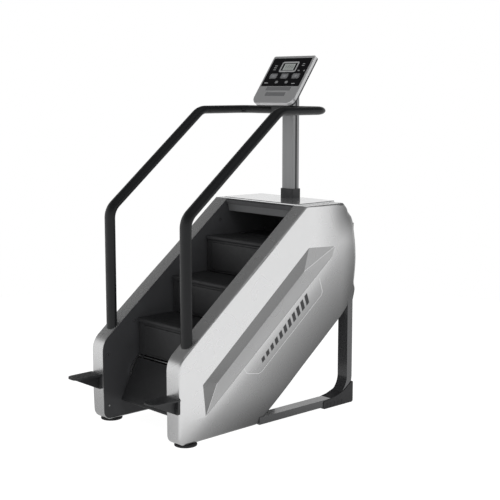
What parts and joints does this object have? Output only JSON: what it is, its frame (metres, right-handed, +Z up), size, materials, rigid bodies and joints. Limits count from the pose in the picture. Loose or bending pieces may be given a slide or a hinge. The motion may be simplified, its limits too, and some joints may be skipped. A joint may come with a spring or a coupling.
{
  "type": "stair climber",
  "caption": "Gym stair climber: black stair belt between silver side shells, bent rear legs, looped black handrails, a post and a tilted console with display and keys.",
  "frame": {"origin": "on the floor, under the middle of the machine's footprint", "axes": "+Z up, +Y the way the user faces, from the entry to the console, +X to the user's right"},
  "size_m": [0.784, 1.54, 2.0088],
  "materials": {
    "shell_silver": "satin silver",
    "cover_silver": "satin silver",
    "panel_grey": "satin dark grey",
    "step_black": "moulded black, ribbed treads",
    "rail_black": "satin black",
    "post_metal": "brushed",
    "trim_black": "fine texture",
    "lip_grey": "satin",
    "shelf_grey": "satin",
    "sheet_dark": "satin",
    "console_silver": "satin silver",
    "overlay_black": "smooth",
    "lens_grey": "smooth",
    "key_grey": "matt",
    "frame_steel": "satin black",
    "leg_silver": "satin silver",
    "foot_rubber": "matt",
    "shaft_steel": "turned",
    "bearing_iron": "painted",
    "motor_grey": "satin"
  },
  "bodies": {
    "machine": {"belly_cover": "sheet_dark", "console_back": "trim_black", "console_bracket": "trim_black", "console_front": "console_silver", "console_overlay": "overlay_black", "cross_tubes": "frame_steel", "display_lens": "lens_grey", "drive_chain": "shaft_steel", "entry_step_left": "trim_black", "entry_step_right": "trim_black", "foot_cap_left": "foot_rubber", "foot_cap_right": "foot_rubber", "front_foot_left": "foot_rubber", "front_foot_right": "foot_rubber", "guide_tracks": "frame_steel", "handrail_left": "rail_black", "handrail_right": "rail_black", "inner_panel_left": "panel_grey", "inner_panel_right": "panel_grey", "motor": "motor_grey", "panel_screws": "shaft_steel", "post": "post_metal", "post_collar": "trim_black", "power_inlet": "trim_black", "rail_clamp": "trim_black", "rear_cover": "sheet_dark", "rear_leg_left": "leg_silver", "rear_leg_right": "leg_silver", "shaft_bearings": "bearing_iron", "shell_left": "shell_silver", "shell_right": "shell_silver", "side_frame_left": "frame_steel", "side_frame_right": "frame_steel", "step_chains": "shaft_steel", "top_cover": "cover_silver", "top_lip": "lip_grey", "well_shelf": "shelf_grey"},
    "stairs": {"tread_1": "step_black", "tread_2": "step_black", "tread_3": "step_black", "riser_1": "step_black", "riser_2": "step_black", "riser_3": "step_black", "step_axles": "shaft_steel"},
    "lower_step": {"tread_4": "step_black"},
    "upper_riser": {"top_riser": "step_black"},
    "returning_stairs": {"return_treads": "step_black", "return_risers": "step_black", "return_axles": "shaft_steel"},
    "upper_step": {"top_tread": "step_black"},
    "lower_riser": {"bottom_riser": "step_black"},
    "drive": {"drive_shaft": "shaft_steel", "drive_sprockets": "shaft_steel"},
    "idler": {"idler_shaft": "shaft_steel"},
    "motor_shaft": {"motor_sprocket": "shaft_steel"},
    "left_key": {"key_left": "key_grey"},
    "middle_key": {"key_middle": "key_grey"},
    "right_key": {"key_right": "key_grey"},
    "start_key": {"key_start": "key_grey"},
    "stop_key": {"key_stop": "key_grey"}
  },
  "joints": [
    {"name": "step_travel", "type": "slide", "parent": "machine", "child": "stairs", "axis": [0, -0.7687, -0.6396], "range_m": [-0.02, 0.06]},
    {"name": "return_travel", "type": "slide", "parent": "machine", "child": "returning_stairs", "axis": [0, 0.7687, 0.6396], "range_m": [-0.021, 0.061]},
    {"name": "lower_step_turn", "type": "hinge", "parent": "stairs", "child": "lower_step", "pos_m": [0, -0.355, 0.342], "axis": [1, 0, 0], "range_deg": [-11, 31]},
    {"name": "upper_riser_turn", "type": "hinge", "parent": "stairs", "child": "upper_riser", "pos_m": [0, 0.4001, 0.9578], "axis": [1, 0, 0], "range_deg": [-11, 31]},
    {"name": "upper_step_turn", "type": "hinge", "parent": "returning_stairs", "child": "upper_step", "pos_m": [0, 0.487, 0.7512], "axis": [1, 0, 0], "range_deg": [-11, 31]},
    {"name": "lower_riser_turn", "type": "hinge", "parent": "returning_stairs", "child": "lower_riser", "pos_m": [0, -0.2681, 0.1354], "axis": [1, 0, 0], "range_deg": [-11, 31]},
    {"name": "drive_turn", "type": "hinge", "parent": "machine", "child": "drive", "pos_m": [0, 0.43078, 0.85007], "axis": [1, 0, 0], "range_deg": [-11, 31]},
    {"name": "idler_turn", "type": "hinge", "parent": "machine", "child": "idler", "pos_m": [0, -0.29874, 0.24311], "axis": [1, 0, 0], "range_deg": [-11, 31]},
    {"name": "motor_turn", "type": "hinge", "parent": "machine", "child": "motor_shaft", "pos_m": [0, 0.2119, 0.668], "axis": [1, 0, 0], "range_deg": [-31, 93]},
    {"name": "left_press", "type": "slide", "parent": "machine", "child": "left_key", "axis": [0, 0.8141, -0.5807], "range_m": [0, 0.001], "stiffness_N_per_m": 1200, "springref_m": -0.0008},
    {"name": "middle_press", "type": "slide", "parent": "machine", "child": "middle_key", "axis": [0, 0.8141, -0.5807], "range_m": [0, 0.001], "stiffness_N_per_m": 1200, "springref_m": -0.0008},
    {"name": "right_press", "type": "slide", "parent": "machine", "child": "right_key", "axis": [0, 0.8141, -0.5807], "range_m": [0, 0.001], "stiffness_N_per_m": 1200, "springref_m": -0.0008},
    {"name": "start_press", "type": "slide", "parent": "machine", "child": "start_key", "axis": [0, 0.8141, -0.5807], "range_m": [0, 0.001], "stiffness_N_per_m": 1200, "springref_m": -0.0008},
    {"name": "stop_press", "type": "slide", "parent": "machine", "child": "stop_key", "axis": [0, 0.8141, -0.5807], "range_m": [0, 0.001], "stiffness_N_per_m": 1200, "springref_m": -0.0008}
  ],
  "couplings": [
    {"joint": "return_travel", "follows": "step_travel", "ratio": 1},
    {"joint": "lower_step_turn", "follows": "step_travel", "rad_per_m": 8.87},
    {"joint": "upper_riser_turn", "follows": "step_travel", "rad_per_m": 8.87},
    {"joint": "upper_step_turn", "follows": "step_travel", "rad_per_m": 8.87},
    {"joint": "lower_riser_turn", "follows": "step_travel", "rad_per_m": 8.87},
    {"joint": "drive_turn", "follows": "step_travel", "rad_per_m": 8.9286},
    {"joint": "idler_turn", "follows": "step_travel", "rad_per_m": 8.9286},
    {"joint": "motor_turn", "follows": "step_travel", "rad_per_m": 26.786}
  ]
}
